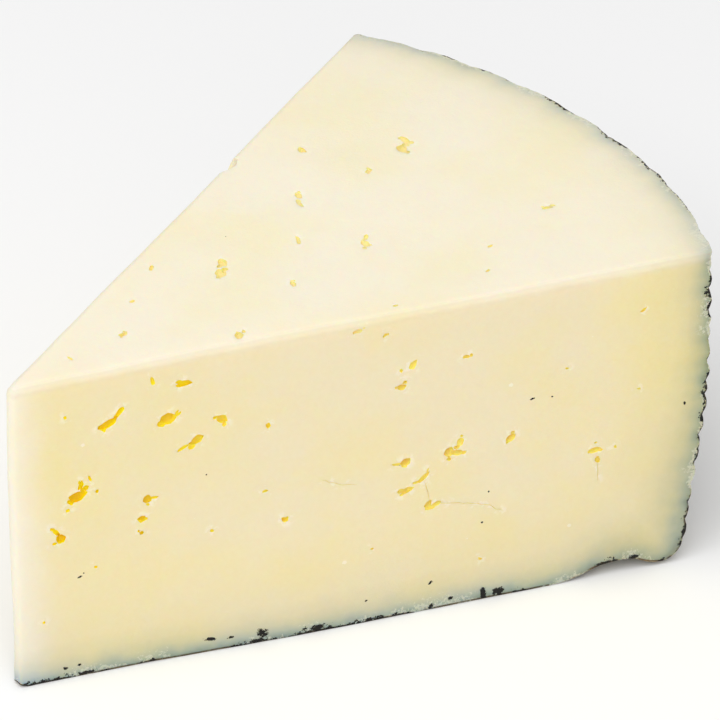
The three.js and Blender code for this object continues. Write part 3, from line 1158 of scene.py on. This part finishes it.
def eye_colour(n, eye_depth, top_depth, tip_gap):
    """Pale yellow eyes, more saturated towards the tip, and a darker orange where they are deep,
    which is painted shade in the hollows.
    """
    # Painted shade: the eye turns a darker orange the deeper it lies below the cut
    deep = n.step(n.math("ADD", eye_depth, n.noise(1.2, 2)), 0.5, 1.6)
    strong = n.step(n.math("ADD", tip_gap, n.math("MULTIPLY", n.noise(9, 2), 40)), 82, 30)
    strong = n.math("ADD", n.math("MULTIPLY", strong, 0.42), 0.58)
    below = n.math("ADD", n.math("MULTIPLY", n.step(top_depth, 1.5, 4.0), 0.72), 0.28)
    yellow = n.mix(deep, EYE_YELLOW, EYE_SHADE_ORANGE)
    return n.mix(n.math("MULTIPLY", strong, below), EYE_PALE, yellow)


def pale_marks(n, paste):
    """Pale smears beside the eyes, and pale grains strewn over the cuts."""
    near_eye = n.step(n.attribute("eye_gap"), 1.3, 0.3)
    smear = n.math("MULTIPLY", near_eye, n.step(n.noise(1.1, 3), 0.53, 0.62))
    paste = n.mix(n.math("MULTIPLY", smear, 0.4), paste, PASTE_LIGHT)
    grains = strewn(n, 3.1, 0.10, 0.35, 0.31)
    return n.mix(n.math("MULTIPLY", grains, 0.6), paste, PASTE_LIGHT)


def rind_crumbs(n, paste, rind_gap, top, top_depth):
    """What the knife tore from the rind: pale and dark crumbs, and a dark line along the base."""
    crumbs = ragged_edge(n, rind_gap, 0.5, 3.2, 0.27)
    paste = n.mix(n.math("MULTIPLY", crumbs, 0.45), paste, CRUMB_WHITE)
    skin = n.math("MULTIPLY", n.step(rind_gap, 0.45, 0.15), n.step(n.noise(5, 4, 0.7), 0.40, 0.50))
    paste = n.mix(n.math("MULTIPLY", skin, n.step(top_depth, 44, 50)), paste, RIND_BROWN)
    torn_reach = n.math("SUBTRACT", 1.4, n.math("MULTIPLY", top, 0.65))
    paste = n.mix(ragged_edge(n, rind_gap, 0.6, torn_reach, 0.13), paste, RIND_BLACK)
    paste = n.mix(strewn(n, 4.2, 0.05, 0.22, 0.07), paste, RIND_BLACK)
    return n.mix(specks(n), paste, RIND_BLACK)


def cut_colour(n, rind_gap, top_depth, tip_gap):
    top = n.step(n.math("ADD", top_depth, n.noise(3, 2)), 2.5, 0.5)
    paste = paste_colour(n, top, top_depth, tip_gap, rind_gap)
    paste = evened_edges(n, paste, top_depth)
    paste = pale_marks(n, paste)
    paste = halo(n, paste, rind_gap, top, top_depth, tip_gap)
    return rind_crumbs(n, paste, rind_gap, top, top_depth)


def roughness(n, is_rind):
    """Satin paste, and a more matt rind."""
    satin = n.step(n.noise(2.2, 3), 0.2, 0.8)
    rough = n.math("ADD", n.math("MULTIPLY", satin, 0.16), 0.42)
    return n.math("ADD", rough, n.math("MULTIPLY", is_rind, 0.2))


def fine_relief(n, is_rind):
    """Faint waves and grain on the paste, and a coarse crust on the rind."""
    grain = n.bump(n.noise(0.45, 3, 0.6), 0.05)
    normal = n.new("ShaderNodeMix", data_type="VECTOR")
    n.plug(is_rind, normal.inputs[0])
    n.plug(n.bump(n.noise(3.5, 2), 0.10, grain), normal.inputs[4])
    n.plug(n.bump(n.noise(0.8, 5, 0.65), 0.35, grain), normal.inputs[5])
    return normal.outputs[1]


def cheese_material():
    """One material for the whole wedge, with a colour of its own for each kind of surface."""
    n = Nodes("cheese")
    surface = n.attribute("surface")
    top_depth = n.attribute("top_depth")
    tip_gap = n.attribute("tip_gap")
    is_eye = n.math("GREATER_THAN", surface, (RIND + EYE) / 2)
    is_rind = n.math("SUBTRACT", n.math("GREATER_THAN", surface, (CUT + RIND) / 2), is_eye)

    paste = cut_colour(n, n.attribute("rind_gap"), top_depth, tip_gap)
    colour = n.mix(is_rind, paste, rind_colour(n, n.attribute("relief")))
    hollow = eye_colour(n, n.attribute("eye_depth"), top_depth, tip_gap)
    n.plug(n.mix(is_eye, colour, hollow), n.shader.inputs["Base Color"])
    n.plug(roughness(n, is_rind), n.shader.inputs["Roughness"])
    n.plug(fine_relief(n, is_rind), n.shader.inputs["Normal"])
    n.shader.inputs["Subsurface Weight"].default_value = SPREAD
    n.shader.inputs["Subsurface Radius"].default_value = SPREAD_COLOUR
    n.shader.inputs["Subsurface Scale"].default_value = SPREAD_METRES
    n.shader.inputs["Specular IOR Level"].default_value = GLOSS
    return n.material


# ---------------------------------------------------------------- the stage


def floor_object():
    mesh = bpy.data.meshes.new("floor")
    r = FLOOR_REACH
    mesh.from_pydata([(-r, -r, 0), (r, -r, 0), (r, r, 0), (-r, r, 0)], [], [(0, 1, 2, 3)])
    n = Nodes("floor")
    n.shader.inputs["Base Color"].default_value = (FLOOR_GREY, FLOOR_GREY, FLOOR_GREY, 1)
    n.shader.inputs["Roughness"].default_value = 0.9
    mesh.materials.append(n.material)
    floor = bpy.data.objects.new("floor", mesh)
    bpy.context.scene.collection.objects.link(floor)
    return floor


def area_light(name, place, aim, size, power):
    """A round lamp of that size in metres and power in watts, at that place and facing its aim."""
    light = bpy.data.lights.new(name, "AREA")
    light.shape = "DISK"
    light.size = size
    light.energy = power
    lamp = bpy.data.objects.new(name, light)
    lamp.location = place
    lamp.rotation_euler = (aim - Vector(place)).to_track_quat("-Z", "Y").to_euler()
    bpy.context.scene.collection.objects.link(lamp)


def light_the_scene(middle):
    world = bpy.data.worlds.new("studio")
    world.use_nodes = True
    world.node_tree.nodes["Background"].inputs[0].default_value = (1, 1, 1, 1)
    world.node_tree.nodes["Background"].inputs[1].default_value = SKY_STRENGTH
    bpy.context.scene.world = world
    for name, place, size, power in LAMPS:
        area_light(name, place, middle, size, power)
    bpy.context.scene.view_settings.view_transform = "Standard"


def camera_object():
    azimuth, elevation = math.radians(CAMERA_AZIMUTH), math.radians(CAMERA_ELEVATION)
    back = Vector((
        math.sin(azimuth) * math.cos(elevation),
        -math.cos(azimuth) * math.cos(elevation),
        math.sin(elevation),
    ))
    camera = bpy.data.objects.new("camera", bpy.data.cameras.new("camera"))
    camera.data.lens = CAMERA_LENS
    camera.location = CAMERA_AIM + back * CAMERA_DISTANCE
    camera.rotation_euler = (-back).to_track_quat("-Z", "Y").to_euler()
    bpy.context.scene.collection.objects.link(camera)
    bpy.context.scene.camera = camera


camera_object()
wedge = wedge_object()
wedge.data.materials.append(cheese_material())
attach(wedge, "root")
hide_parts(NODE)
floor_object()
light_the_scene((Vector(cad_box[0]) + Vector(cad_box[1])) / 2)
